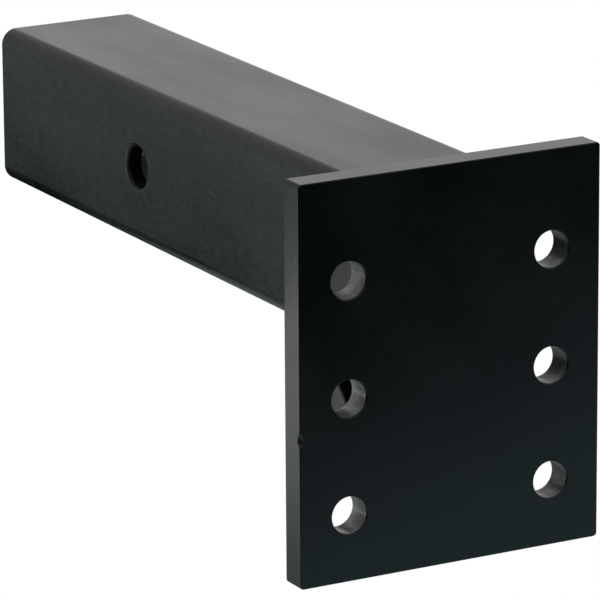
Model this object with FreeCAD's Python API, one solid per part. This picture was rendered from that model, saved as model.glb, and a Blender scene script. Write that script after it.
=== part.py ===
import FreeCAD, Part
import math
import os

from FreeCAD import Vector

# Pintle hook mount: a drilled plate welded to a square tube shank, with a brace bar underneath.
# Millimetres. The origin is the centre of the hitch pin hole, on the tube's long axis.
# X runs along the pin, Y from the plate to the free end of the tube, Z up.

# Mounting plate
PLATE_WIDTH = 127.0
PLATE_HEIGHT = 152.4
PLATE_THICKNESS = 11.1125
PLATE_CORNER_RADIUS = 1.5
PLATE_EDGE_RADIUS = 0.5

# Bolt holes, two columns of three
BOLT_COLUMNS = 2
BOLT_ROWS = 3
BOLT_COLUMN_SPACING = 85.725
BOLT_ROW_SPACING = 44.45
BOLT_TOP_MARGIN = 38.1
BOLT_HOLE_DIAMETER = 14.3
BOLT_HOLE_EDGE_BREAK = 0.5

# Shank tube
TUBE_SIZE = 63.5
TUBE_WALL = 6.35
TUBE_CORNER_RADIUS = 6.35
TUBE_BORE_CORNER_RADIUS = 1.6
TUBE_TOP_DROP = 7.14375
TUBE_END_BREAK = 0.8

# Hitch pin hole
PIN_HOLE_DIAMETER = 16.7
PIN_HOLE_RIM_RADIUS = 1.5
PIN_TO_PLATE = 177.8
PIN_TO_FREE_END = 120.65

# Brace bar at 45 degrees between the tube's underside and the plate's back
BRACE_WIDTH_SHARE = 0.8
BRACE_THICKNESS = 11.1125
BRACE_INNER_LEG = 47.625
BRACE_EDGE_RADIUS = 1.0

# Fillet welds, kept clear of the bolt holes beside the tube
WELD_LEDGE_SHARE = 0.97
WELD_BULGE = 0.6
WELD_RIPPLE_PITCH = 2.6
WELD_RIPPLE_DEPTH = 0.28
WELD_TOE_OVERLAP_DEGREES = 14.0
WELD_CORNER_RIPPLES = 3
WELD_FACETS = 6
WELD_RIPPLE_OVERLAP = 1.5
WELD_END_DROP = 1.5

# Derived positions
PLATE_BACK = -PIN_TO_PLATE
PLATE_FRONT = PLATE_BACK - PLATE_THICKNESS
TUBE_HALF = TUBE_SIZE / 2
TUBE_LENGTH = PIN_TO_PLATE + PIN_TO_FREE_END
PLATE_TOP = TUBE_HALF + TUBE_TOP_DROP
PLATE_BOTTOM = PLATE_TOP - PLATE_HEIGHT
BRACE_WIDTH = BRACE_WIDTH_SHARE * TUBE_SIZE
BRACE_SLANT = BRACE_THICKNESS * math.sqrt(2)
BOLT_HOLE_RIM = BOLT_HOLE_DIAMETER / 2 + BOLT_HOLE_EDGE_BREAK
LEDGE_BESIDE_TUBE = BOLT_COLUMN_SPACING / 2 - BOLT_HOLE_RIM - TUBE_HALF
LEDGE_ABOVE_TUBE = TUBE_TOP_DROP - PLATE_EDGE_RADIUS
WELD_LEG = WELD_LEDGE_SHARE * min(LEDGE_BESIDE_TUBE, LEDGE_ABOVE_TUBE)

# Tolerances for picking edges, and half of a square corner's turn
SAME_DIRECTION_DEGREES = 8.0
SAME_PLANE = 1e-3
EDGE_SAMPLES = 5
HALF_CORNER_DEGREES = 45.0

ALONG_X = Vector(1, 0, 0)
ALONG_Y = Vector(0, 1, 0)
ALONG_Z = Vector(0, 0, 1)


def one_solid(shape):
    """The single solid that a shape holds."""
    if len(shape.Solids) != 1:
        raise ValueError("expected one solid, found " + str(len(shape.Solids)))
    return shape.Solids[0]


def edges_along(shape, direction):
    """The straight edges of a shape that run along a direction."""
    picked = []
    least_cosine = math.cos(math.radians(SAME_DIRECTION_DEGREES))
    for edge in shape.Edges:
        if abs(edge.tangentAt(edge.FirstParameter).dot(direction)) > least_cosine:
            picked.append(edge)
    return picked


def edges_in_plane(shape, normal, level):
    """The edges of a shape that lie in a plane, at a distance from the origin along its normal."""
    picked = []
    for edge in shape.Edges:
        offsets = [abs(point.dot(normal) - level) for point in edge.discretize(EDGE_SAMPLES)]
        if max(offsets) < SAME_PLANE:
            picked.append(edge)
    return picked


def round_edges(edges):
    """The edges that are circles or parts of one."""
    return [edge for edge in edges if isinstance(edge.Curve, Part.Circle)]


def rounded_square_prism(size, radius, start, length):
    """A square bar with rounded long edges, running along Y from start."""
    box = Part.makeBox(size, length, size, Vector(-size / 2, start, -size / 2))
    return box.makeFillet(radius, edges_along(box, ALONG_Y))


def bolt_hole_centres():
    """X and Z of every bolt hole."""
    centres = []
    for column in range(BOLT_COLUMNS):
        for row in range(BOLT_ROWS):
            x = (column - (BOLT_COLUMNS - 1) / 2) * BOLT_COLUMN_SPACING
            z = PLATE_TOP - BOLT_TOP_MARGIN - row * BOLT_ROW_SPACING
            centres.append((x, z))
    return centres


def bolt_hole_cutter(x, z):
    """A round hole through the plate with both rims broken at 45 degrees."""
    radius = BOLT_HOLE_DIAMETER / 2
    bore = Part.makeCylinder(radius, PLATE_THICKNESS, Vector(x, PLATE_FRONT, z), ALONG_Y)
    wide = radius + BOLT_HOLE_EDGE_BREAK
    front_rim = Part.makeCone(wide, radius, BOLT_HOLE_EDGE_BREAK, Vector(x, PLATE_FRONT, z), ALONG_Y)
    back_rim = Part.makeCone(wide, radius, BOLT_HOLE_EDGE_BREAK, Vector(x, PLATE_BACK, z), ALONG_Y.negative())
    return bore.fuse([front_rim, back_rim])


def mounting_plate():
    """The upright plate: rounded outline, softened edges, six bolt holes."""
    corner = Vector(-PLATE_WIDTH / 2, PLATE_FRONT, PLATE_BOTTOM)
    plate = Part.makeBox(PLATE_WIDTH, PLATE_THICKNESS, PLATE_HEIGHT, corner)
    plate = plate.makeFillet(PLATE_CORNER_RADIUS, edges_along(plate, ALONG_Y))
    rims = edges_in_plane(plate, ALONG_Y, PLATE_FRONT) + edges_in_plane(plate, ALONG_Y, PLATE_BACK)
    plate = plate.makeFillet(PLATE_EDGE_RADIUS, rims)
    for x, z in bolt_hole_centres():
        plate = plate.cut(bolt_hole_cutter(x, z))
    return one_solid(plate)


def tube_outside():
    """The shank's outer form as a solid bar, used to trim what touches it."""
    return rounded_square_prism(TUBE_SIZE, TUBE_CORNER_RADIUS, PLATE_BACK, TUBE_LENGTH)


def shank_tube():
    """The square tube with its bore, a broken free end and the cross pin hole with rolled outer rims."""
    bar = tube_outside()
    bar = bar.makeChamfer(TUBE_END_BREAK, edges_in_plane(bar, ALONG_Y, PIN_TO_FREE_END))
    bore_size = TUBE_SIZE - 2 * TUBE_WALL
    tube = bar.cut(rounded_square_prism(bore_size, TUBE_BORE_CORNER_RADIUS, PLATE_BACK, TUBE_LENGTH))
    pin = Part.makeCylinder(PIN_HOLE_DIAMETER / 2, TUBE_SIZE, Vector(-TUBE_HALF, 0, 0), ALONG_X)
    tube = tube.cut(pin)
    rims = edges_in_plane(tube, ALONG_X, TUBE_HALF) + edges_in_plane(tube, ALONG_X, -TUBE_HALF)
    return one_solid(tube.makeFillet(PIN_HOLE_RIM_RADIUS, round_edges(rims)))


def brace_bar():
    """The flat bar at 45 degrees, both ends cut flush to the plate and the tube."""
    inner = BRACE_INNER_LEG
    outer = BRACE_INNER_LEG + BRACE_SLANT
    side = -BRACE_WIDTH / 2
    corners = [
        Vector(side, PLATE_BACK, -TUBE_HALF - inner),
        Vector(side, PLATE_BACK + inner, -TUBE_HALF),
        Vector(side, PLATE_BACK + outer, -TUBE_HALF),
        Vector(side, PLATE_BACK, -TUBE_HALF - outer),
    ]
    bar = Part.Face(Part.makePolygon(corners + corners[:1])).extrude(ALONG_X * BRACE_WIDTH)
    slant = Vector(0, 1, 1).normalize()
    return one_solid(bar.makeFillet(BRACE_EDGE_RADIUS, edges_along(bar, slant)))


def weld_section(face_a, face_b):
    """The arc of a bulged fillet weld in the corner between two faces.

    face_a and face_b point from the root along each face. Returns the arc's
    centre relative to the root, its radius and the angle between its toes.
    """
    half_open = face_a.getAngle(face_b) / 2
    toe_depth = WELD_LEG * math.cos(half_open)
    half_chord = WELD_LEG * math.sin(half_open)
    radius = (half_chord ** 2 + WELD_BULGE ** 2) / (2 * WELD_BULGE)
    outward = (face_a + face_b).normalize()
    centre = outward * (toe_depth + WELD_BULGE - radius)
    return centre, radius, 2 * math.asin(half_chord / radius)


def ripple_profile(peak, length, count, end_drop):
    """The outline of a rippled weld run, as pairs of distance along it and radius.

    peak is the bead's full radius and end_drop how far it falls at both ends.
    """
    pitch = length / count
    outline = [(0, peak - end_drop)]
    for index in range(count):
        outline.append(((index + 0.5) * pitch, peak))
        outline.append(((index + 1) * pitch, peak - WELD_RIPPLE_DEPTH))
    outline[-1] = (length, peak - end_drop)
    return outline


def polygon_face(points):
    """A flat face through a ring of points."""
    return Part.Face(Part.makePolygon(points + points[:1]))


def weld_run(start, end, face_a, face_b, count, end_drop):
    """A straight rippled bead along a root line, not yet trimmed by the metal it joins.

    The bead is a fan of flat facets round an axis that lies under the root, inside the metal.
    """
    centre, radius, sweep = weld_section(face_a, face_b)
    along = (end - start).normalize()
    fan = sweep + 2 * math.radians(WELD_TOE_OVERLAP_DEGREES)
    turn = along if face_a.cross(face_b).dot(along) > 0 else along.negative()
    middle = (face_a + face_b).normalize()
    angles = [math.degrees(fan) * (index / WELD_FACETS - 0.5) for index in range(WELD_FACETS + 1)]
    spokes = [FreeCAD.Rotation(turn, angle).multVec(middle) for angle in angles]
    outline = ripple_profile(radius, (end - start).Length, count, end_drop)

    def place(spoke, point):
        return start + centre + along * point[0] + spoke * point[1]

    faces = []
    for near, far in zip(spokes, spokes[1:]):
        for low, high in zip(outline, outline[1:]):
            ring = [place(near, low), place(near, high), place(far, high), place(far, low)]
            faces.append(polygon_face(ring))
        faces.append(polygon_face([start + centre, place(near, outline[0]), place(far, outline[0])]))
        faces.append(polygon_face([end + centre, place(near, outline[-1]), place(far, outline[-1])]))
    for spoke in (spokes[0], spokes[-1]):
        side = [place(spoke, point) for point in outline]
        faces.append(polygon_face([start + centre] + side + [end + centre]))
    bead = Part.Solid(Part.Shell(faces))
    if bead.Volume < 0:
        bead.reverse()
    return bead


def upward_wedge(apex, half_angle):
    """A prism behind the plate that opens upward from an edge along Y, to keep one slice of a bead."""
    reach = 2 * TUBE_SIZE
    spread = reach * math.tan(math.radians(half_angle))
    left = apex + Vector(-spread, 0, reach)
    right = apex + Vector(spread, 0, reach)
    return Part.Face(Part.makePolygon([apex, left, right, apex])).extrude(ALONG_Y * reach)


def tube_weld_top(outside):
    """The bead over the tube's top, turning half of each rounded corner."""
    flat = TUBE_HALF - TUBE_CORNER_RADIUS
    root = Vector(0, PLATE_BACK, TUBE_HALF)
    count = round(2 * flat / WELD_RIPPLE_PITCH)
    drop = WELD_RIPPLE_DEPTH
    pieces = [weld_run(root - ALONG_X * flat, root + ALONG_X * flat, ALONG_Z, ALONG_Y, count, drop)]
    step = HALF_CORNER_DEGREES / WELD_CORNER_RIPPLES
    reach = math.radians(step) * (TUBE_CORNER_RADIUS + WELD_LEG / 2) * WELD_RIPPLE_OVERLAP / 2
    for side in (-1, 1):
        top = root + ALONG_X * (side * flat)
        turn_centre = top - ALONG_Z * TUBE_CORNER_RADIUS
        ripple = weld_run(top - ALONG_X * reach, top + ALONG_X * reach, ALONG_Z, ALONG_Y, 1, drop)
        ripple = ripple.common(upward_wedge(turn_centre, step / 2))
        for index in range(WELD_CORNER_RIPPLES):
            pieces.append(ripple.copy().rotate(turn_centre, ALONG_Y, side * (index + 0.5) * step))
    bead = pieces[0].fuse(pieces[1:]).cut(outside)
    bead = bead.common(upward_wedge(Vector(0, PLATE_BACK, 0), HALF_CORNER_DEGREES))
    return one_solid(bead.removeSplitter())


def brace_weld(start, end, face_a, face_b, metal):
    """A straight bead at the brace bar, trimmed by the pieces it joins."""
    count = max(1, round((end - start).Length / WELD_RIPPLE_PITCH))
    return one_solid(weld_run(start, end, face_a, face_b, count, WELD_END_DROP).cut(metal))


def brace_welds(plate, outside, brace):
    """The cross bead and the two side beads at each end of the brace bar, by name."""
    half = BRACE_WIDTH / 2
    inner = BRACE_INNER_LEG
    outer = BRACE_INNER_LEG + BRACE_SLANT
    to_tube = Vector(0, 1, 1).normalize()
    metal = [plate, outside, brace]
    corner = Vector(0, PLATE_BACK, -TUBE_HALF)
    ends = {
        "plate": (ALONG_Z.negative(), to_tube, ALONG_Y),
        "tube": (ALONG_Y, to_tube.negative(), ALONG_Z.negative()),
    }
    welds = {}
    for name, (away, along_bar, off_face) in ends.items():
        root = corner + away * outer
        cross = brace_weld(root - ALONG_X * half, root + ALONG_X * half, away, along_bar, metal)
        welds["weld_brace_" + name] = cross
        for side_name, side in (("left", -1), ("right", 1)):
            near = corner + away * inner + ALONG_X * (side * half)
            far = corner + away * outer + ALONG_X * (side * half)
            bead = brace_weld(near, far, ALONG_X * side, off_face, metal + [cross])
            welds["weld_brace_" + name + "_" + side_name] = bead
    return welds


def build():
    """Every piece of the mount, by name."""
    plate = mounting_plate()
    outside = tube_outside()
    brace = brace_bar()
    nodes = {"mounting_plate": plate, "shank_tube": shank_tube(), "brace_bar": brace}
    top = tube_weld_top(outside)
    for index, name in enumerate(("top", "right", "bottom", "left")):
        nodes["weld_" + name] = top.copy().rotate(Vector(0, 0, 0), ALONG_Y, 90 * index)
    nodes.update(brace_welds(plate, outside, brace))
    return nodes


os.makedirs("parts", exist_ok=True)
for node_name, shape in build().items():
    shape.exportStep(os.path.join("parts", node_name + ".step"))
    print(node_name, shape.ShapeType, len(shape.Solids), shape.isValid(), round(shape.Volume, 1))
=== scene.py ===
import logging
import math
from collections.abc import Iterator
from contextlib import contextmanager
from dataclasses import dataclass, field
from enum import Enum

import bmesh
import bpy
from mathutils import Matrix, Quaternion, Vector


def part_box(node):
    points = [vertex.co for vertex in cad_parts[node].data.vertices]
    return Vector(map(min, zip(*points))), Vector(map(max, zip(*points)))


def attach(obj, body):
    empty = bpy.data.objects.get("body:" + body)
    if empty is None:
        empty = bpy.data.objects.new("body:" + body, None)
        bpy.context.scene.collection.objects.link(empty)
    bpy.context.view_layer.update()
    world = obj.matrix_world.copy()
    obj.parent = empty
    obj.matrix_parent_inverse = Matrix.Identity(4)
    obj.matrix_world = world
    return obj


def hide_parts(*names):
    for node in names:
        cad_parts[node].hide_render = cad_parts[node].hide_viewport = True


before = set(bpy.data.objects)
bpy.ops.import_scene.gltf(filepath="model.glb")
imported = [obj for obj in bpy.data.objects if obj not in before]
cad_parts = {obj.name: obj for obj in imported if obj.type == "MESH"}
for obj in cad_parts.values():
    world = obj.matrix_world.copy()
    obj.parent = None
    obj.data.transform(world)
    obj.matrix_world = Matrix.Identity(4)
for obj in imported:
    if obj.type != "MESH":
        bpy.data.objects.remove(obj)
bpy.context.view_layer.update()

LOG = logging.getLogger("pintle_hook_mount")

# Lengths below are in metres, in the frame of the solids.
MILLIMETRE = 0.001
BODY = "root"
SAME_PLACE = 1e-6
QUARTER_TURN = math.radians(90)
HALF_CORNER = QUARTER_TURN / 2

Colour = tuple[float, float, float]
Place = tuple[float, float, float]
Span = tuple[float, float]
Socket = bpy.types.NodeSocket
Value = Socket | float
SocketList = tuple[tuple[str, str], ...]


class Slot(Enum):
    """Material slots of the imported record."""

    BLACK_PAINT = "black_paint"
    PAINTED_WELD = "painted_weld"


@dataclass(frozen=True)
class Grain:
    """The fine relief of a metal surface, in bumps per metre along each axis."""

    bumps: Place
    layers: float


class Metal(Enum):
    """The kinds of metal surface under the paint."""

    ROLLED = Grain((90.0, 90.0, 90.0), 5.0)
    DRAWN = Grain((260.0, 7.0, 260.0), 3.0)
    SHEARED = Grain((420.0, 70.0, 420.0), 4.0)
    BOLT_DRILLED = Grain((30.0, 900.0, 30.0), 2.0)
    PIN_DRILLED = Grain((900.0, 30.0, 30.0), 2.0)
    WELDED = Grain((700.0, 700.0, 700.0), 5.0)


class TubeSide(Enum):
    """The sides of the tube, in quarter turns about its axis from the top."""

    TOP = 0
    RIGHT = 1
    BOTTOM = 2
    LEFT = 3


@contextmanager
def editing(piece: bpy.types.Object) -> Iterator[None]:
    """Opens one mesh in edit mode with nothing selected in it.

    Args:
        piece: The mesh object to edit.
    """
    bpy.ops.object.select_all(action="DESELECT")
    piece.select_set(True)
    bpy.context.view_layer.objects.active = piece
    bpy.ops.object.mode_set(mode="EDIT")
    bpy.ops.mesh.select_all(action="DESELECT")
    try:
        yield
    finally:
        bpy.ops.object.mode_set(mode="OBJECT")


def turn_selected(angle: float, centre: Vector) -> None:
    """Turns what is selected about an axis along Y.

    Args:
        angle: Turn in radians, from +Z toward +X.
        centre: A point on the axis.
    """
    bpy.ops.transform.rotate(value=-angle, orient_axis="Y", orient_type="GLOBAL", center_override=centre)


class NodeSheet:
    """One node tree, with short calls to add and link its nodes."""

    # A mix node lists its sockets for numbers and vectors before those for colours.
    first_colour: int = 6
    second_colour: int = 7
    mixed_colour: int = 2

    def __init__(self, tree: bpy.types.NodeTree) -> None:
        """Starts on a tree whose own nodes are cleared away."""
        self.tree = tree
        self.tree.nodes.clear()

    def add(self, kind: str, **settings: object) -> bpy.types.Node:
        """Adds a node.

        Args:
            kind: The node's type name.
            settings: Properties to set on it.

        Returns:
            The new node.
        """
        node = self.tree.nodes.new(kind)
        for name, value in settings.items():
            setattr(node, name, value)
        return node

    def feed(self, socket: Socket, value: Value) -> None:
        """Links a socket to another, or sets its value.

        Args:
            socket: The input to feed.
            value: An output socket, or a plain value.
        """
        if isinstance(value, Socket):
            self.tree.links.new(value, socket)
        else:
            socket.default_value = value

    def math(self, operation: str, first: Value, second: Value = 0.0) -> Socket:
        """Adds a sum on one or two values.

        Args:
            operation: The sum's name, such as MULTIPLY.
            first: Its first value.
            second: Its second value.

        Returns:
            The result.
        """
        node = self.add("ShaderNodeMath", operation=operation)
        self.feed(node.inputs[0], first)
        self.feed(node.inputs[1], second)
        return node.outputs[0]

    def noise(self, place: Socket, scale: Value, detail: float) -> Socket:
        """Adds a noise pattern.

        Args:
            place: Where on the piece.
            scale: Bumps per metre.
            detail: How many finer layers are added.

        Returns:
            The pattern, from 0 to 1.
        """
        node = self.add("ShaderNodeTexNoise")
        self.feed(node.inputs["Vector"], place)
        self.feed(node.inputs["Scale"], scale)
        self.feed(node.inputs["Detail"], detail)
        return node.outputs["Fac"]

    def stretch(self, place: Socket, scale: Place) -> Socket:
        """Scales a place so that a pattern on it is drawn out.

        Args:
            place: Where on the piece.
            scale: Bumps per metre along each axis.

        Returns:
            The scaled place.
        """
        node = self.add("ShaderNodeMapping")
        self.feed(node.inputs["Vector"], place)
        self.feed(node.inputs["Scale"], scale)
        return node.outputs["Vector"]

    def spread(self, value: Value, span: Span, low: Value = 0.0, high: Value = 1.0) -> Socket:
        """Moves a value from one range to another, smoothly and held at its ends.

        Args:
            value: The value.
            span: Where its own range starts and ends.
            low: Where the new range starts.
            high: Where the new range ends.

        Returns:
            The moved value.
        """
        node = self.add("ShaderNodeMapRange", interpolation_type="SMOOTHSTEP")
        self.feed(node.inputs["Value"], value)
        self.feed(node.inputs["From Min"], span[0])
        self.feed(node.inputs["From Max"], span[1])
        self.feed(node.inputs["To Min"], low)
        self.feed(node.inputs["To Max"], high)
        return node.outputs["Result"]

    def blend(self, share: Value, first: Socket | Colour, second: Socket | Colour) -> Socket:
        """Mixes two colours.

        Args:
            share: How much of the second, from 0 to 1.
            first: The first colour.
            second: The second colour.

        Returns:
            The mixed colour.
        """
        node = self.add("ShaderNodeMix", data_type="RGBA")
        self.feed(node.inputs["Factor"], share)
        for index, colour in ((self.first_colour, first), (self.second_colour, second)):
            self.feed(node.inputs[index], colour if isinstance(colour, Socket) else (*colour, 1.0))
        return node.outputs[self.mixed_colour]


class EffectGroup:
    """A shader node group that several finishes share."""

    name: str = "effect"
    inputs: SocketList = ()
    outputs: SocketList = ()

    def tree(self) -> bpy.types.NodeTree:
        """Finds the group, or builds it on first use.

        Returns:
            The group's node tree.
        """
        found = bpy.data.node_groups.get(self.name)
        if found:
            return found
        made = bpy.data.node_groups.new(self.name, "ShaderNodeTree")
        for label, kind in self.inputs:
            made.interface.new_socket(label, in_out="INPUT", socket_type=kind)
        for label, kind in self.outputs:
            made.interface.new_socket(label, in_out="OUTPUT", socket_type=kind)
        sheet = NodeSheet(made)
        self.fill(sheet, sheet.add("NodeGroupInput"), sheet.add("NodeGroupOutput"))
        return made

    def fill(self, sheet: NodeSheet, given: bpy.types.Node, out: bpy.types.Node) -> None:
        """Puts the nodes between the group's inputs and outputs.

        Args:
            sheet: The group's tree.
            given: The node that holds the inputs.
            out: The node that holds the outputs.
        """
        raise NotImplementedError

    def place_in(self, sheet: NodeSheet, **values: object) -> bpy.types.Node:
        """Places the group in a material.

        Args:
            sheet: The material's tree.
            values: What each input gets, with _ for the spaces in its name.

        Returns:
            The placed group.
        """
        node = sheet.add("ShaderNodeGroup", node_tree=self.tree())
        for label, value in values.items():
            sheet.feed(node.inputs[label.replace("_", " ")], value)
        return node


class OrangePeel(EffectGroup):
    """The soft pebbling of sprayed and baked paint."""

    name: str = "orange peel"
    inputs: SocketList = (
        ("Place", "NodeSocketVector"),
        ("Pebbles", "NodeSocketFloat"),
        ("Specks", "NodeSocketFloat"),
    )
    outputs: SocketList = (("Height", "NodeSocketFloat"),)
    speck_share: float = 0.25
    pebble_layers: float = 1.0
    speck_layers: float = 2.0

    def fill(self, sheet: NodeSheet, given: bpy.types.Node, out: bpy.types.Node) -> None:
        """Adds broad pebbles and fine specks to one height.

        Args:
            sheet: The group's tree.
            given: The node that holds the inputs.
            out: The node that holds the outputs.
        """
        pebbles = sheet.noise(given.outputs["Place"], given.outputs["Pebbles"], self.pebble_layers)
        specks = sheet.noise(given.outputs["Place"], given.outputs["Specks"], self.speck_layers)
        fine = sheet.math("MULTIPLY", specks, self.speck_share)
        sheet.feed(out.inputs["Height"], sheet.math("ADD", pebbles, fine))


class PaintCloud(EffectGroup):
    """Slow changes of tone and gloss over a painted surface."""

    name: str = "paint cloud"
    inputs: SocketList = (
        ("Place", "NodeSocketVector"),
        ("Clouds", "NodeSocketFloat"),
        ("Deep Colour", "NodeSocketColor"),
        ("Thin Colour", "NodeSocketColor"),
        ("Glossy", "NodeSocketFloat"),
        ("Dull", "NodeSocketFloat"),
    )
    outputs: SocketList = (("Colour", "NodeSocketColor"), ("Roughness", "NodeSocketFloat"))
    grain_per_cloud: float = 24.0
    even_share: float = 0.5
    cloud_layers: float = 3.0
    grain_layers: float = 2.0
    tone_span: Span = (0.35, 0.65)
    gloss_span: Span = (0.3, 0.7)

    def fill(self, sheet: NodeSheet, given: bpy.types.Node, out: bpy.types.Node) -> None:
        """Lets broad clouds set the gloss, and clouds with grain set the tone.

        Args:
            sheet: The group's tree.
            given: The node that holds the inputs.
            out: The node that holds the outputs.
        """
        clouds = sheet.noise(given.outputs["Place"], given.outputs["Clouds"], self.cloud_layers)
        grain_scale = sheet.math("MULTIPLY", given.outputs["Clouds"], self.grain_per_cloud)
        grain = sheet.noise(given.outputs["Place"], grain_scale, self.grain_layers)
        both = sheet.math("MULTIPLY", sheet.math("ADD", clouds, grain), self.even_share)
        tone = sheet.spread(both, self.tone_span)
        colour = sheet.blend(tone, given.outputs["Deep Colour"], given.outputs["Thin Colour"])
        gloss = sheet.spread(clouds, self.gloss_span, given.outputs["Glossy"], given.outputs["Dull"])
        sheet.feed(out.inputs["Colour"], colour)
        sheet.feed(out.inputs["Roughness"], gloss)


class DustAndHighlightFilm(EffectGroup):
    """A pale film on what faces up: thin dust on most paints, and a painted highlight on the up-facing
    bottoms of the bolt holes.
    """

    name: str = "settled dust"
    inputs: SocketList = (
        ("Place", "NodeSocketVector"),
        ("Facing", "NodeSocketVector"),
        ("Patches", "NodeSocketFloat"),
        ("Amount", "NodeSocketFloat"),
    )
    outputs: SocketList = (("Mask", "NodeSocketFloat"),)
    upward_span: Span = (0.5, 1.0)
    patch_layers: float = 4.0
    patch_span: Span = (0.35, 0.75)
    thinnest: float = 0.2

    def fill(self, sheet: NodeSheet, given: bpy.types.Node, out: bpy.types.Node) -> None:
        """Keeps a broken pattern where the surface faces up.

        Args:
            sheet: The group's tree.
            given: The node that holds the inputs.
            out: The node that holds the outputs.
        """
        split = sheet.add("ShaderNodeSeparateXYZ")
        sheet.feed(split.inputs["Vector"], given.outputs["Facing"])
        upward = sheet.spread(split.outputs["Z"], self.upward_span)
        patches = sheet.noise(given.outputs["Place"], given.outputs["Patches"], self.patch_layers)
        broken = sheet.spread(patches, self.patch_span, self.thinnest, 1.0)
        mask = sheet.math("MULTIPLY", sheet.math("MULTIPLY", upward, broken), given.outputs["Amount"])
        sheet.feed(out.inputs["Mask"], mask)


@dataclass(frozen=True)
class BlackPaint:
    """Semi-gloss black paint over one kind of metal surface.

    Clouds, pebbles and specks are in bumps per metre, depths in metres.
    """

    name: str
    metal: Metal
    deep: Colour = (0.0060, 0.0085, 0.0085)
    thin: Colour = (0.0120, 0.0160, 0.0160)
    # Pale film on up-facing faces: real dust on most paints, a painted highlight where a finish makes it
    # heavy and light, as in the bolt holes.
    dust_and_highlight: Colour = (0.16, 0.16, 0.155)
    dust_and_highlight_amount: float = 0.05
    dust_and_highlight_per_cloud: float = 2.0
    glossy: float = 0.22
    dull: float = 0.30
    clouds: float = 22.0
    cloud_stretch: Place = (1.0, 1.0, 1.0)
    pebbles: float = 620.0
    specks: float = 2600.0
    peel_depth: float = 0.016 * MILLIMETRE
    grain_depth: float = 0.02 * MILLIMETRE
    reflection: float = 0.5

    def tone(self, sheet: NodeSheet, place: Socket) -> tuple[Socket, Socket]:
        """Adds the paint's clouds and the pale film on top of them: dust on most paints, a painted
        highlight in the bolt holes.

        Args:
            sheet: The material's tree.
            place: Where on the piece.

        Returns:
            The colour and the roughness.
        """
        cloud = PaintCloud().place_in(
            sheet,
            Place=sheet.stretch(place, self.cloud_stretch),
            Clouds=self.clouds,
            Deep_Colour=(*self.deep, 1.0),
            Thin_Colour=(*self.thin, 1.0),
            Glossy=self.glossy,
            Dull=self.dull,
        )
        facing = sheet.add("ShaderNodeNewGeometry").outputs["Normal"]
        # Dust on most paints; in the bolt holes this film is a painted highlight.
        dust_and_highlight = DustAndHighlightFilm().place_in(
            sheet,
            Place=place,
            Facing=facing,
            Patches=self.dust_and_highlight_per_cloud * self.clouds,
            Amount=self.dust_and_highlight_amount,
        )
        colour = sheet.blend(dust_and_highlight.outputs["Mask"], cloud.outputs["Colour"], self.dust_and_highlight)
        return colour, cloud.outputs["Roughness"]

    def relief(self, sheet: NodeSheet, place: Socket) -> Socket:
        """Adds the grain of the metal, and the paint's own pebbling over it.

        Args:
            sheet: The material's tree.
            place: Where on the piece.

        Returns:
            The bumped normal.
        """
        grain = sheet.noise(sheet.stretch(place, self.metal.value.bumps), 1.0, self.metal.value.layers)
        under = sheet.add("ShaderNodeBump")
        under.inputs["Distance"].default_value = self.grain_depth
        sheet.feed(under.inputs["Height"], grain)
        peel = OrangePeel().place_in(sheet, Place=place, Pebbles=self.pebbles, Specks=self.specks)
        over = sheet.add("ShaderNodeBump")
        over.inputs["Distance"].default_value = self.peel_depth
        sheet.feed(over.inputs["Height"], peel.outputs["Height"])
        sheet.feed(over.inputs["Normal"], under.outputs["Normal"])
        return over.outputs["Normal"]

    def material(self) -> bpy.types.Material:
        """Builds the finish on first use.

        Returns:
            The material.
        """
        found = bpy.data.materials.get(self.name)
        if found:
            return found
        made = bpy.data.materials.new(self.name)
        made.use_nodes = True
        sheet = NodeSheet(made.node_tree)
        place = sheet.add("ShaderNodeTexCoord").outputs["Object"]
        paint = sheet.add("ShaderNodeBsdfPrincipled")
        paint.inputs["Specular IOR Level"].default_value = self.reflection
        colour, roughness = self.tone(sheet, place)
        sheet.feed(paint.inputs["Base Color"], colour)
        sheet.feed(paint.inputs["Roughness"], roughness)
        sheet.feed(paint.inputs["Normal"], self.relief(sheet, place))
        out = sheet.add("ShaderNodeOutputMaterial")
        sheet.feed(out.inputs["Surface"], paint.outputs["BSDF"])
        return made


PLATE_PAINT = BlackPaint("black_paint_on_plate", Metal.ROLLED)
TUBE_PAINT = BlackPaint(
    "black_paint_on_tube",
    Metal.DRAWN,
    deep=(0.0040, 0.0060, 0.0058),
    thin=(0.0170, 0.0210, 0.0200),
    glossy=0.18,
    dull=0.27,
    clouds=30.0,
    cloud_stretch=(1.0, 0.3, 1.0),
    grain_depth=0.012 * MILLIMETRE,
)
BORE_PAINT = BlackPaint(
    "thin_black_paint_in_tube",
    Metal.DRAWN,
    deep=(0.024, 0.024, 0.023),
    thin=(0.044, 0.043, 0.041),
    glossy=0.38,
    dull=0.55,
    grain_depth=0.03 * MILLIMETRE,
)
EDGE_PAINT = BlackPaint(
    "black_paint_on_cut_edge",
    Metal.SHEARED,
    deep=(0.0060, 0.0075, 0.0075),
    thin=(0.0120, 0.0135, 0.0130),
    glossy=0.13,
    dull=0.21,
    grain_depth=0.025 * MILLIMETRE,
)
# Grey walls, far lighter than the plate's black. The heavy pale film on their up-facing bottoms is a
# painted highlight for the light that those bottoms catch.
BOLT_HOLE_PAINT_WITH_PAINTED_HIGHLIGHT = BlackPaint(
    "black_paint_in_bolt_hole",
    Metal.BOLT_DRILLED,
    deep=(0.055, 0.057, 0.057),
    thin=(0.225, 0.227, 0.225),
    # Painted highlight on the up-facing bottoms of the holes.
    dust_and_highlight=(0.50, 0.51, 0.50),
    dust_and_highlight_amount=0.8,
    glossy=0.18,
    dull=0.30,
    clouds=110.0,
    grain_depth=0.03 * MILLIMETRE,
)
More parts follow.
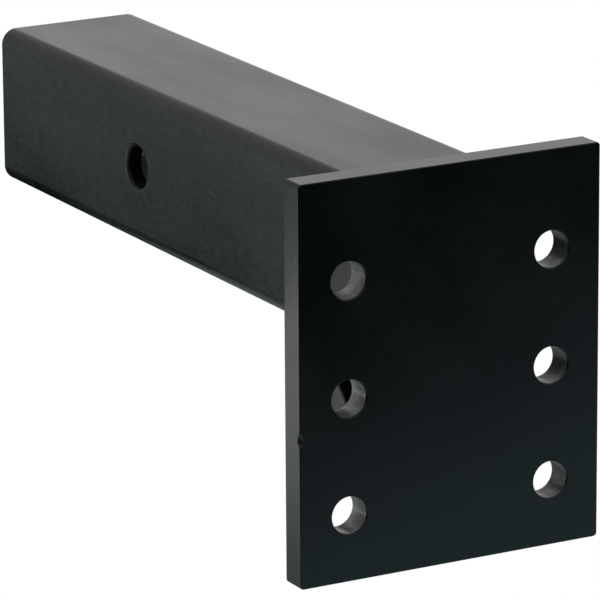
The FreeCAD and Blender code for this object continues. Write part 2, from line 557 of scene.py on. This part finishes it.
# Darker and less reflective than the tube's paint: painted shade in the pin hole, also laid on its
# rounded rim so that no highlight shows there.
SHADED_PIN_HOLE_PAINT = BlackPaint(
    "black_paint_in_pin_hole",
    Metal.PIN_DRILLED,
    deep=(0.004, 0.005, 0.005),
    thin=(0.007, 0.008, 0.008),
    glossy=0.30,
    dull=0.42,
    grain_depth=0.06 * MILLIMETRE,
    reflection=0.25,
)
WELD_PAINT = BlackPaint(
    "black_paint_on_weld",
    Metal.WELDED,
    thin=(0.024, 0.025, 0.025),
    glossy=0.28,
    dull=0.46,
    grain_depth=0.05 * MILLIMETRE,
)


@dataclass
class SteelPiece:
    """A steel piece of the mount, which has the shape of its solid and is painted zone by zone."""

    node: str
    finishes: tuple[BlackPaint, ...]
    smooth_degrees: float = 32.0

    def build(self) -> bpy.types.Object:
        """Copies the solid as one clean shell with soft edges.

        Returns:
            The piece.
        """
        piece = bpy.data.objects.new(self.node + "_painted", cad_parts[self.node].data.copy())
        bpy.context.scene.collection.objects.link(piece)
        with editing(piece):
            bpy.ops.mesh.select_all(action="SELECT")
            bpy.ops.mesh.remove_doubles(threshold=SAME_PLACE)
        self.carve(piece)
        bpy.ops.mesh.customdata_custom_splitnormals_clear()
        bpy.ops.object.shade_smooth_by_angle(angle=math.radians(self.smooth_degrees))
        even = piece.modifiers.new("even shading", "WEIGHTED_NORMAL")
        even.keep_sharp = True
        bpy.ops.object.modifier_apply(modifier=even.name)
        return piece

    def carve(self, piece: bpy.types.Object) -> None:
        """Leaves the shape as it is, where no mark is cut in it."""

    def zone(self, face: bpy.types.MeshPolygon, low: Vector, high: Vector) -> BlackPaint:
        """Picks the finish of a face.

        Args:
            face: A face of the piece. Not used here.
            low: The lowest corner of the piece's box. Not used here.
            high: The highest corner. Not used here.

        Returns:
            The finish, one of the piece's own.
        """
        return self.finishes[0]

    def dress(self, piece: bpy.types.Object) -> None:
        """Paints the piece and puts it in the place of its solid.

        Args:
            piece: The piece that build made.
        """
        piece.data.materials.clear()
        for finish in self.finishes:
            piece.data.materials.append(finish.material())
        low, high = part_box(self.node)
        for face in piece.data.polygons:
            face.material_index = self.finishes.index(self.zone(face, low, high))
        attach(piece, BODY)
        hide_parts(self.node)


@dataclass
class MountingPlate(SteelPiece):
    """The upright plate with its six bolt holes."""

    node: str = "mounting_plate"
    finishes: tuple[BlackPaint, ...] = (PLATE_PAINT, EDGE_PAINT, BOLT_HOLE_PAINT_WITH_PAINTED_HIGHLIGHT)
    edge_band: float = 3.0 * MILLIMETRE
    flat_facing: float = 0.8
    rim_facing: float = 0.2
    nick_height: float = -56.7 * MILLIMETRE
    nick_radius: float = 4.2 * MILLIMETRE
    nick_depth: float = 1.3 * MILLIMETRE
    nick_roundness: int = 4

    def carve(self, piece: bpy.types.Object) -> None:
        """Knocks a small nick in the left front edge.

        Args:
            piece: The copy of the solid.
        """
        low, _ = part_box(self.node)
        outward = Vector((-1, -1, 0)).normalized()
        edge = Vector((low.x, low.y, self.nick_height))
        bpy.ops.object.select_all(action="DESELECT")
        bpy.ops.mesh.primitive_ico_sphere_add(
            subdivisions=self.nick_roundness,
            radius=self.nick_radius,
            location=edge + outward * (self.nick_radius - self.nick_depth),
        )
        punch = bpy.context.active_object
        piece.select_set(True)
        bpy.context.view_layer.objects.active = piece
        nick = piece.modifiers.new("nick", "BOOLEAN")
        nick.operation = "DIFFERENCE"
        nick.object = punch
        bpy.ops.object.modifier_apply(modifier=nick.name)
        bpy.data.objects.remove(punch)

    def zone(self, face: bpy.types.MeshPolygon, low: Vector, high: Vector) -> BlackPaint:
        """Front, back and hole rims are plain, the outline is cut and the rest is drilled.

        Args:
            face: A face of the piece.
            low: The lowest corner of the piece's box.
            high: The highest corner.

        Returns:
            The finish, one of the piece's own.
        """
        near_side = min(face.center.x - low.x, high.x - face.center.x) < self.edge_band
        near_end = min(face.center.z - low.z, high.z - face.center.z) < self.edge_band
        on_outline = near_side or near_end
        if abs(face.normal.y) > (self.flat_facing if on_outline else self.rim_facing):
            return PLATE_PAINT
        return EDGE_PAINT if on_outline else BOLT_HOLE_PAINT_WITH_PAINTED_HIGHLIGHT


@dataclass
class ShankTube(SteelPiece):
    """The square tube that slides into a receiver."""

    node: str = "shank_tube"
    finishes: tuple[BlackPaint, ...] = (TUBE_PAINT, SHADED_PIN_HOLE_PAINT, BORE_PAINT)
    wall: float = 6.35 * MILLIMETRE
    pin_radius: float = 8.35 * MILLIMETRE
    pin_rim: float = 1.5 * MILLIMETRE
    flat_facing: float = 0.95
    slack: float = 0.5 * MILLIMETRE

    def zone(self, face: bpy.types.MeshPolygon, low: Vector, high: Vector) -> BlackPaint:
        """The pin hole and its rim are drilled and take the darker pin hole paint, which is painted
        shade; the bore is thinly painted, the rest is drawn tube.

        Args:
            face: A face of the piece.
            low: The lowest corner of the piece's box. Not used here.
            high: The highest corner.

        Returns:
            The finish, one of the piece's own.
        """
        in_hole = math.hypot(face.center.y, face.center.z) < self.pin_radius + self.pin_rim
        # The hole's wall and rim get the painted shade.
        if in_hole and abs(face.normal.x) < self.flat_facing:
            return SHADED_PIN_HOLE_PAINT
        reach = max(abs(face.center.x), abs(face.center.z))
        return BORE_PAINT if reach < high.x - self.wall + self.slack else TUBE_PAINT


@dataclass
class BraceBar(SteelPiece):
    """The flat bar at 45 degrees under the tube."""

    node: str = "brace_bar"
    finishes: tuple[BlackPaint, ...] = (PLATE_PAINT, EDGE_PAINT)
    side_facing: float = 0.5

    def zone(self, face: bpy.types.MeshPolygon, low: Vector, high: Vector) -> BlackPaint:
        """The two long edges are cut, and the rest is plain.

        Args:
            face: A face of the piece.
            low: The lowest corner of the piece's box. Not used here.
            high: The highest corner. Not used here.

        Returns:
            The finish, one of the piece's own.
        """
        return EDGE_PAINT if abs(face.normal.x) > self.side_facing else PLATE_PAINT


@dataclass(frozen=True)
class BeadShape:
    """The section and ripples of a fillet weld bead.

    Each step is a pair: how far it goes, as a share of the pitch, and the size that it reaches.
    """

    leg: float = 3.36 * MILLIMETRE
    bulge: float = 0.6 * MILLIMETRE
    sunk: float = 0.2 * MILLIMETRE
    pitch: float = 2.6 * MILLIMETRE
    crescent: float = 0.9 * MILLIMETRE
    circle_sides: int = 72
    ripple_steps: tuple[Span, ...] = ((0.18, 0.985), (0.24, 1.0), (0.30, 0.965), (0.28, 0.92))
    end_steps: tuple[Span, ...] = ((0.14, 0.72), (0.22, 0.9))
    end_size: float = 0.52
    smooth_degrees: float = 50.0


@dataclass
class WeldBead:
    """A rippled bead, drawn out step by step along the root of a joint."""

    node: str
    start: Vector
    along: Vector
    face_a: Vector
    face_b: Vector
    shape: BeadShape = field(default_factory=BeadShape)

    def arc(self) -> tuple[Vector, float]:
        """Where the bead's round face has its centre.

        Returns:
            The centre relative to the root, and the radius.
        """
        half_open = self.face_a.angle(self.face_b) / 2
        half_chord = self.shape.leg * math.sin(half_open)
        radius = (half_chord ** 2 + self.shape.bulge ** 2) / (2 * self.shape.bulge)
        outward = (self.face_a + self.face_b).normalized()
        return outward * (self.shape.leg * math.cos(half_open) + self.shape.bulge - radius), radius

    def off_face(self, face: Vector, other: Vector) -> Vector:
        """The direction straight off one face, on the side of the bead."""
        return (other - face * other.dot(face)).normalized()

    def sunk_root(self) -> Vector:
        """The root's place inside the metal, relative to the root."""
        return -(self.face_a + self.face_b).normalized() * self.shape.sunk

    def begin(self) -> bpy.types.Object:
        """Adds the bead's first section: a disc cut back to the two faces, with a hollow crescent.

        Returns:
            The new piece, with its section at the start of the run.
        """
        centre, radius = self.arc()
        bpy.ops.object.select_all(action="DESELECT")
        bpy.ops.mesh.primitive_circle_add(
            vertices=self.shape.circle_sides,
            radius=radius,
            fill_type="NGON",
            location=self.start + centre,
            rotation=self.along.to_track_quat("Z", "Y").to_euler(),
        )
        piece = bpy.context.active_object
        piece.name = self.node + "_bead"
        bpy.ops.object.transform_apply(location=True, rotation=True, scale=True)
        with editing(piece):
            for face, other in ((self.face_a, self.face_b), (self.face_b, self.face_a)):
                bpy.ops.mesh.select_all(action="SELECT")
                bpy.ops.mesh.bisect(
                    plane_co=self.start + self.sunk_root(),
                    plane_no=self.off_face(face, other),
                    clear_inner=True,
                )
            self.bow(piece)
        return piece

    def bow(self, piece: bpy.types.Object) -> None:
        """Pulls the middle of the section forward, so that each ripple is a crescent.

        Args:
            piece: The piece, in edit mode.
        """
        outward = (self.face_a + self.face_b).normalized()
        mesh = bmesh.from_edit_mesh(piece.data)
        bpy.ops.mesh.select_all(action="DESELECT")
        crown = max(mesh.verts, key=lambda point: (point.co - self.start).dot(outward))
        crown.select_set(True)
        mesh.select_flush_mode()
        bmesh.update_edit_mesh(piece.data)
        bpy.ops.transform.translate(
            value=self.along * self.shape.crescent,
            use_proportional_edit=True,
            proportional_edit_falloff="SPHERE",
            proportional_size=self.shape.leg,
        )
        bpy.ops.mesh.select_all(action="SELECT")

    def steps(self, length: float) -> list[Span]:
        """Every step of a straight run.

        Args:
            length: How far the run goes.

        Returns:
            Pairs of the distance to go and the size to reach, as a share of the full bead.
        """
        count = max(1, round(length / self.shape.pitch))
        ripple = [(share * length / count, size) for share, size in self.shape.ripple_steps]
        return ripple * count

    def draw_out(self, move: Vector, size: float, root: Vector) -> None:
        """Extrudes the leading section by one step and resizes it about the root.

        Args:
            move: The step.
            size: Growth of the section, as a share.
            root: The sunk root's place after the step.
        """
        bpy.ops.mesh.extrude_region_move(TRANSFORM_OT_translate={"value": move})
        bpy.ops.transform.resize(value=(size, size, size), center_override=root)

    def finish(self, piece: bpy.types.Object) -> bpy.types.Object:
        """Turns all faces outward and shades the bead smooth.

        Args:
            piece: The drawn out bead.

        Returns:
            The same piece.
        """
        with editing(piece):
            bpy.ops.mesh.select_all(action="SELECT")
            bpy.ops.mesh.normals_make_consistent(inside=False)
        bpy.ops.object.shade_smooth_by_angle(angle=math.radians(self.shape.smooth_degrees))
        return piece

    def dress(self, piece: bpy.types.Object) -> None:
        """Paints the bead and puts it in the place of its solid.

        Args:
            piece: The finished bead.
        """
        piece.data.materials.clear()
        piece.data.materials.append(WELD_PAINT.material())
        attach(piece, BODY)
        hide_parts(self.node)


@dataclass
class BraceBead(WeldBead):
    """A short straight bead at an end of the brace bar, thinned at both of its own ends."""

    length: float = 0.0

    def build(self) -> bpy.types.Object:
        """Draws the bead out along its root.

        Returns:
            The piece.
        """
        piece = self.begin()
        reach = self.length - 2 * sum(share for share, _ in self.shape.end_steps) * self.shape.pitch
        rise = [(share * self.shape.pitch, size) for share, size in self.shape.end_steps]
        fall = [(share * self.shape.pitch, size) for share, size in reversed(self.shape.end_steps)]
        walk = rise + self.steps(reach) + fall
        first = self.shape.end_size
        with editing(piece):
            bpy.ops.mesh.select_all(action="SELECT")
            root = self.start + self.sunk_root()
            bpy.ops.transform.resize(value=(first, first, first), center_override=root)
            reached = first
            for distance, size in walk:
                root = root + self.along * distance
                self.draw_out(self.along * distance, size / reached, root)
                reached = size
        return self.finish(piece)


@dataclass
class TubeBead(WeldBead):
    """The bead along one side of the tube, turning half of the rounded corner at each end."""

    flat: float = 25.4 * MILLIMETRE
    corner_radius: float = 6.35 * MILLIMETRE
    corner_ripples: int = 3

    def build(self) -> bpy.types.Object:
        """Draws the bead round half a corner, along the flat and round the next half corner.

        Returns:
            The piece, on the tube's top.
        """
        piece = self.begin()
        middle = self.start - self.face_a * self.corner_radius
        left = middle - self.along * self.flat
        right = middle + self.along * self.flat
        with editing(piece):
            bpy.ops.mesh.select_all(action="SELECT")
            bpy.ops.transform.translate(value=-self.along * self.flat)
            turn_selected(-HALF_CORNER, left)
            reached = self.turn_corner(left, -HALF_CORNER, 1.0)
            root = self.start + self.sunk_root() - self.along * self.flat
            for distance, size in self.steps(2 * self.flat):
                root = root + self.along * distance
                self.draw_out(self.along * distance, size / reached, root)
                reached = size
            self.turn_corner(right, 0.0, reached)
        return self.finish(piece)

    def turn_corner(self, centre: Vector, angle: float, reached: float) -> float:
        """Draws the bead round half of a rounded corner.

        Args:
            centre: The middle of the corner's curve.
            angle: The angle that the section stands at, from straight up.
            reached: The section's size, as a share of the full bead.

        Returns:
            The size at the end.
        """
        ripple_turn = HALF_CORNER / self.corner_ripples
        arm = self.face_a * self.corner_radius + self.sunk_root()
        for share, size in self.shape.ripple_steps * self.corner_ripples:
            angle += share * ripple_turn
            bpy.ops.mesh.extrude_region_move(TRANSFORM_OT_translate={"value": (0, 0, 0)})
            turn_selected(share * ripple_turn, centre)
            root = centre + Matrix.Rotation(angle, 3, "Y") @ arm
            growth = size / reached
            bpy.ops.transform.resize(value=(growth, growth, growth), center_override=root)
            reached = size
        return reached


@dataclass
class TubeWeld:
    """The weld all round the tube, one run a side."""

    shape: BeadShape = field(default_factory=BeadShape)

    def build(self) -> list[tuple[WeldBead, bpy.types.Object]]:
        """Models the run on the top and copies it to the other three sides.

        Returns:
            The four runs with their pieces.
        """
        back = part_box("mounting_plate")[1].y
        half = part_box("shank_tube")[1].x
        root = Vector((0, back, half))
        runs = []
        first = None
        for side in TubeSide:
            bead = TubeBead(
                "weld_" + side.name.lower(),
                start=root,
                along=Vector((1, 0, 0)),
                face_a=Vector((0, 0, 1)),
                face_b=Vector((0, 1, 0)),
                shape=self.shape,
            )
            if first is None:
                first = bead.build()
                piece = first
            else:
                piece = bpy.data.objects.new(bead.node + "_bead", first.data.copy())
                bpy.context.scene.collection.objects.link(piece)
                with editing(piece):
                    bpy.ops.mesh.select_all(action="SELECT")
                    turn_selected(side.value * QUARTER_TURN, Vector())
            runs.append((bead, piece))
        return runs


@dataclass(frozen=True)
class BarEnd:
    """One end of the brace bar, where it meets the plate or the tube.

    The directions lead away from the corner that the bar braces, along the bar and straight off the
    metal that it meets. Lean is in radians, and wrap is how far the beads go past the bar's corners.
    """

    name: str
    away: Vector
    along_bar: Vector
    off: Vector
    lean: float
    wrap: float


@dataclass
class BraceWelds:
    """The beads at the two ends of the brace bar."""

    inner_leg: float = 47.625 * MILLIMETRE
    corner_radius: float = 6.35 * MILLIMETRE
    wrap: float = 2.0 * MILLIMETRE
    shape: BeadShape = field(default_factory=BeadShape)

    def lean(self) -> float:
        """How far the tube's rounded corner falls away under a side bead.

        Returns:
            The angle, in radians.
        """
        leg = self.shape.leg
        fall = self.corner_radius - math.sqrt(self.corner_radius ** 2 - leg ** 2)
        return math.atan2(fall, leg)

    def beads(self) -> list[BraceBead]:
        """Where each bead runs.

        Returns:
            The cross bead and two side beads at each end of the bar.
        """
        corner = Vector((0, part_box("mounting_plate")[1].y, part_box("shank_tube")[0].x))
        low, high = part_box("brace_bar")
        half = high.x
        outer = corner.z - low.z
        across = Vector((1, 0, 0))
        up_bar = Vector((0, 1, 1)).normalized()
        down, back = Vector((0, 0, -1)), Vector((0, 1, 0))
        ends = (
            BarEnd("plate", down, up_bar, back, lean=0.0, wrap=self.wrap),
            BarEnd("tube", back, -up_bar, down, lean=self.lean(), wrap=0.0),
        )
        made = []
        for end in ends:
            node = "weld_brace_" + end.name
            reach = half + end.wrap
            root = corner + end.away * outer - across * reach
            made.append(BraceBead(node, root, across, end.away, end.along_bar, self.shape, 2 * reach))
            for side_name, side in (("left", -across), ("right", across)):
                near = corner + end.away * self.inner_leg + side * half
                foot = side * math.cos(end.lean) - end.off * math.sin(end.lean)
                run = outer + end.wrap - self.inner_leg
                side_node = f"{node}_{side_name}"
                made.append(BraceBead(side_node, near, end.away, foot, end.off, self.shape, run))
        return made


@dataclass(frozen=True)
class Studio:
    """Plain white surroundings that the paint mirrors in graded tones, with one soft light on the left.

    The floor's spans are in metres. The walls' spans are the part of a direction along one axis.
    """

    # The floor
    floor_level: float = -0.16
    floor_size: float = 24.0
    tint_behind: Colour = (0.84, 1.0, 0.90)
    tint_front: Colour = (0.70, 1.0, 1.05)
    white: Colour = (1.0, 1.0, 1.0)
    plate_line: Span = (-0.2, -0.1)
    # Beside the part, under the tube near the plate, and past the tube's free end
    shaded: Span = (0.20, 0.37)
    beside_part: float = 0.34
    under_fades: Span = (0.13, 0.28)
    under_side: Span = (-0.17, -0.09)
    under_tube: float = 0.27
    lane: Span = (0.12, 0.20)
    lane_from: Span = (0.45, 0.65)
    past_end: float = 0.40
    # A bright patch on the left of the plate
    patch_edge: Span = (-0.24, -0.08)
    patch_end: Span = (-0.045, 0.01)
    patch: float = 0.95
    # In front of the plate
    front_slant: float = 0.5
    front_rise: Span = (-0.52, -0.30)
    front_light: float = 0.36
    # Walls and ceiling
    turn_to_back: Span = (-0.25, 0.9)
    wall_behind: float = 0.37
    bright_side: Span = (-0.3, 0.3)
    bright_height: Span = (0.27, 0.38)
    bright_wall: float = 0.43
    ceiling_height: Span = (0.0, 0.5)
    ceiling: float = 0.36
    # The soft light
    softbox_place: Place = (-1.6, 0.55, 0.35)
    softbox_size: float = 1.3
    softbox_watts: float = 16.0

    def glow(self, sheet: NodeSheet, mirrored: Socket) -> Socket:
        """White to the camera, and another brightness in what the paint mirrors."""
        to_camera = sheet.add("ShaderNodeLightPath").outputs["Is Camera Ray"]
        return sheet.spread(to_camera, (0.0, 1.0), mirrored, 1.0)

    def along(self, sheet: NodeSheet, coordinates: str) -> tuple[Socket, Socket, Socket]:
        """Splits a place or a direction into its parts.

        Args:
            sheet: The tree to add to.
            coordinates: Which coordinates to split.

        Returns:
            The parts along X, Y and Z.
        """
        split = sheet.add("ShaderNodeSeparateXYZ")
        sheet.feed(split.inputs["Vector"], sheet.add("ShaderNodeTexCoord").outputs[coordinates])
        return split.outputs["X"], split.outputs["Y"], split.outputs["Z"]

    def floor_light(self, sheet: NodeSheet) -> tuple[Socket, Socket]:
        """Grades the floor: dim under the part, lighter beside it and past its end, dark far in front.

        A bright patch lies on the left of the plate.

        Args:
            sheet: The floor material's tree.

        Returns:
            The colour and the brightness that the paint mirrors.
        """
        x, y, _ = self.along(sheet, "Object")
        aside = sheet.math("ABSOLUTE", x)
        near = sheet.spread(y, self.under_fades, self.under_tube, 0.0)
        under = sheet.math("MULTIPLY", near, sheet.spread(x, self.under_side))
        beside = sheet.spread(aside, self.shaded, under, self.beside_part)
        in_lane = sheet.spread(aside, self.lane, 1.0, 0.0)
        past_end = sheet.math("MULTIPLY", in_lane, sheet.spread(y, self.lane_from, 0.0, self.past_end))
        on_left = sheet.spread(x, self.patch_edge, 1.0, 0.0)
        near_plate = sheet.spread(sheet.math("ADD", x, y), self.patch_end, 1.0, 0.0)
        in_patch = sheet.math("MULTIPLY", on_left, near_plate)
        patch = sheet.math("MULTIPLY", in_patch, self.patch)
        behind = sheet.math("ADD", sheet.math("ADD", beside, past_end), patch)
        forward = sheet.math("ADD", y, sheet.math("MULTIPLY", x, self.front_slant))
        front = sheet.spread(forward, self.front_rise, 0.0, self.front_light)
        tint = sheet.blend(in_patch, self.tint_behind, self.white)
        colour = sheet.blend(sheet.spread(y, self.plate_line), self.tint_front, tint)
        return colour, sheet.spread(y, self.plate_line, front, behind)

    def floor(self) -> None:
        """Lays the floor, which is clear from below."""
        bpy.ops.object.select_all(action="DESELECT")
        bpy.ops.mesh.primitive_plane_add(size=self.floor_size, location=(0, 0, self.floor_level))
        floor = bpy.context.active_object
        floor.name = "floor"
        bpy.ops.object.transform_apply(location=True, rotation=True, scale=True)
        material = bpy.data.materials.new("pale_floor")
        material.use_nodes = True
        sheet = NodeSheet(material.node_tree)
        tint, brightness = self.floor_light(sheet)
        to_camera = sheet.add("ShaderNodeLightPath").outputs["Is Camera Ray"]
        light = sheet.add("ShaderNodeEmission")
        sheet.feed(light.inputs["Strength"], self.glow(sheet, brightness))
        sheet.feed(light.inputs["Color"], sheet.blend(to_camera, tint, self.white))
        clear = sheet.add("ShaderNodeBsdfTransparent")
        clear.inputs["Color"].default_value = (*self.white, 1.0)
        side = sheet.add("ShaderNodeMixShader")
        sheet.feed(side.inputs["Fac"], sheet.add("ShaderNodeNewGeometry").outputs["Backfacing"])
        sheet.feed(side.inputs[1], light.outputs["Emission"])
        sheet.feed(side.inputs[2], clear.outputs["BSDF"])
        out = sheet.add("ShaderNodeOutputMaterial")
        sheet.feed(out.inputs["Surface"], side.outputs["Shader"])
        floor.data.materials.append(material)

    def surroundings(self) -> None:
        """Makes a light wall behind the part, brightest low on the right, and a dim ceiling in front."""
        world = bpy.data.worlds.new("studio")
        bpy.context.scene.world = world
        world.use_nodes = True
        sheet = NodeSheet(world.node_tree)
        x, y, z = self.along(sheet, "Generated")
        to_back = sheet.spread(y, self.turn_to_back)
        low_down = sheet.spread(z, self.bright_height, self.bright_wall, 0.0)
        bright = sheet.math("MULTIPLY", sheet.spread(x, self.bright_side), low_down)
        wall = sheet.math("ADD", bright, self.wall_behind)
        ceiling = sheet.spread(z, self.ceiling_height, 0.0, self.ceiling)
        mirrored = sheet.spread(to_back, (0.0, 1.0), ceiling, wall)
        back = sheet.add("ShaderNodeBackground")
        back.inputs["Color"].default_value = (*self.white, 1.0)
        sheet.feed(back.inputs["Strength"], self.glow(sheet, mirrored))
        out = sheet.add("ShaderNodeOutputWorld")
        sheet.feed(out.inputs["Surface"], back.outputs["Background"])

    def softbox(self) -> None:
        """Stands one large soft light on the part's left, a little behind it."""
        bpy.ops.object.light_add(type="AREA", location=self.softbox_place)
        lamp = bpy.context.active_object
        lamp.name = "softbox"
        lamp.data.size = self.softbox_size
        lamp.data.energy = self.softbox_watts
        lamp.rotation_mode = "QUATERNION"
        lamp.rotation_quaternion = (-lamp.location).to_track_quat("-Z", "Y")
        lamp.visible_camera = False
        lamp.visible_glossy = False

    def build(self) -> None:
        """Sets up floor, walls, light and plain colour rendering."""
        self.floor()
        self.surroundings()
        self.softbox()
        settings = bpy.context.scene.view_settings
        settings.view_transform = "Standard"
        settings.look = "None"


@dataclass(frozen=True)
class PhotoCamera:
    """The photograph's viewpoint, fitted to the plate's corners, the bolt holes and the tube's edges."""

    eye: Place = (-0.933609, -1.773924, 0.506297)
    aim: Place = (0.003029, -0.068799, -0.042183)
    lens: float = 314.3646
    sensor: float = 36.0
    roll_degrees: float = -0.4023

    def build(self) -> None:
        """Adds the camera and makes it the scene's own."""
        bpy.ops.object.camera_add(location=self.eye)
        camera = bpy.context.active_object
        camera.name = "photo_camera"
        ahead = Vector(self.aim) - Vector(self.eye)
        roll = Quaternion((0, 0, 1), math.radians(self.roll_degrees))
        camera.rotation_mode = "QUATERNION"
        camera.rotation_quaternion = ahead.to_track_quat("-Z", "Y") @ roll
        camera.data.lens = self.lens
        camera.data.sensor_fit = "HORIZONTAL"
        camera.data.sensor_width = self.sensor
        bpy.context.scene.camera = camera


def main() -> None:
    """Builds and dresses every piece, then the studio and the camera."""
    logging.basicConfig(level=logging.INFO, format="%(name)s: %(message)s")
    for steel in (MountingPlate(), ShankTube(), BraceBar()):
        piece = steel.build()
        steel.dress(piece)
        LOG.info("%s with %d faces", piece.name, len(piece.data.polygons))
    beads = TubeWeld().build()
    beads += [(bead, bead.build()) for bead in BraceWelds().beads()]
    for bead, piece in beads:
        bead.dress(piece)
        LOG.info("%s with %d faces", piece.name, len(piece.data.polygons))
    Studio().build()
    PhotoCamera().build()


if __name__ == "__main__":
    main()
